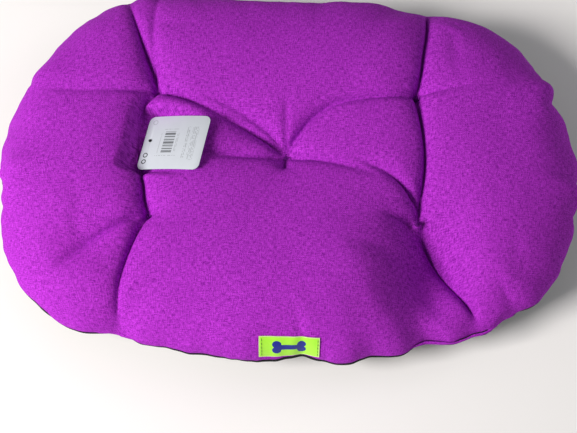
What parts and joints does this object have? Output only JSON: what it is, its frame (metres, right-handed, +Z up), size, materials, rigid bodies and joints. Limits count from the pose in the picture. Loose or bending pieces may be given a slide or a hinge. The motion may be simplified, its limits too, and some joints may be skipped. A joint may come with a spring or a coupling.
{
  "type": "pet cushion bed",
  "caption": "Oval tufted cushion bed for a small pet: woven top panel, plain underside, soft wadding, a sewn label at the front and a card tag on a pin.",
  "frame": {"origin": "on the floor, under the middle of the cushion", "axes": "+X along the cushion, +Y from the label edge to the rear edge, +Z up"},
  "size_m": [0.5498, 0.3778, 0.0951],
  "materials": {
    "top_cloth": "matte",
    "bottom_cloth": "matte",
    "wadding": "matte",
    "seam_thread": "matte",
    "tuft_thread": "matte",
    "label_weave": "matte",
    "label_thread": "matte",
    "tag_card": "satin",
    "nylon": "satin"
  },
  "bodies": {
    "cushion": {"top_cover": "top_cloth", "bottom_cover": "bottom_cloth", "filling": "wadding", "perimeter_seam_thread": "seam_thread", "closing_seam_thread": "seam_thread", "tuft_thread_center": "tuft_thread", "tuft_thread_rear_left": "tuft_thread", "tuft_thread_rear_right": "tuft_thread", "tuft_thread_front_left": "tuft_thread", "tuft_thread_front_right": "tuft_thread", "front_label": "label_weave", "label_thread_left": "label_thread", "label_thread_right": "label_thread"},
    "pin": {"tag_pin": "nylon"},
    "tag": {"hang_tag": "tag_card"}
  },
  "joints": [
    {"name": "tag_swivel", "type": "hinge", "parent": "cushion", "child": "pin", "pos_m": [-0.12711, 0.011, 0.074], "axis": [-0.3269, 0.1224, 0.9371], "range_deg": [-6, 4]},
    {"name": "tag_lift", "type": "hinge", "parent": "pin", "child": "tag", "pos_m": [-0.12711, 0.011, 0.074], "axis": [-0.1681, -0.9833, 0.0698], "range_deg": [0, 120], "deforming": ["tag_pin"]}
  ]
}
